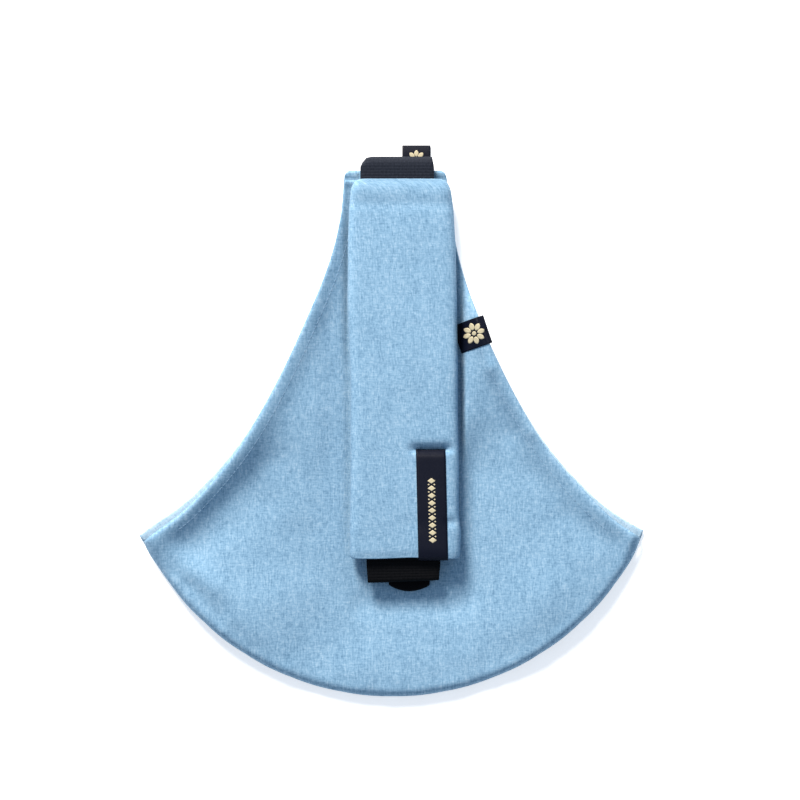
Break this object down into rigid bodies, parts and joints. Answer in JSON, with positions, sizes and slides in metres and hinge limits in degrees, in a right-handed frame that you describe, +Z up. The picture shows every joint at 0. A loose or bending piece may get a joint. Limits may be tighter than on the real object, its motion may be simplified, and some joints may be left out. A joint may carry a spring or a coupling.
{
  "type": "one-shoulder baby sling",
  "caption": "Bell-shaped denim seat pouch for carrying a toddler on the hip, with a padded, adjustable webbing shoulder strap folded down over it.",
  "frame": {"origin": "centre of the bounding box's bottom: the surface the sling lies on, at the middle of its length and width", "axes": "+Z up out of the surface, through the sling's thickness; +Y from the seat's round lower edge towards the neck and the top fold; +X to the right, seen from above"},
  "size_m": [0.344, 0.3762, 0.02],
  "materials": {
    "denim": "light-blue cotton denim with a fine melange twill",
    "denim_inside": "paler wrong side of the same denim",
    "webbing": "black ribbed polyester webbing, slight sheen",
    "elastic": "black woven elastic",
    "label": "near-black woven satin with a pale gold woven motif",
    "care_label": "plain off-white tape",
    "foam": "soft open-cell padding",
    "plastic": "black moulded acetal, fine grain",
    "thread": "black sewing thread"
  },
  "bodies": {
    "seat": {"rear_panel": "denim", "front_panel": "denim", "seat_seam": "denim_inside", "rear_hem_left": "denim_inside", "rear_hem_right": "denim_inside", "front_hem_left": "denim_inside", "front_hem_right": "denim_inside", "side_label": "label", "flag_label": "label", "care_label": "care_label", "rear_anchor_web": "webbing", "front_anchor_web": "webbing", "front_anchor_stitches": "thread"},
    "strap": {"pad_top_cover": "denim", "pad_bottom_cover": "denim", "pad_foam": "foam", "pad_label": "label", "shoulder_web": "webbing", "adjust_web": "webbing", "ladder_lock": "plastic", "elastic_loop": "elastic"},
    "tail": {"tail_web": "webbing"},
    "keeper": {"keeper": "elastic"}
  },
  "joints": [
    {"name": "strap_fold", "type": "hinge", "parent": "seat", "child": "strap", "pos_m": [0.0074, 0.1799, 0.01015], "axis": [-1, 0, 0], "range_deg": [0, 180]},
    {"name": "tail_slide", "type": "slide", "parent": "strap", "child": "tail", "axis": [0, 1, 0], "range_m": [0, 0.06]},
    {"name": "keeper_slide", "type": "slide", "parent": "strap", "child": "keeper", "axis": [0, 1, 0], "range_m": [-0.05, 0.012]}
  ]
}
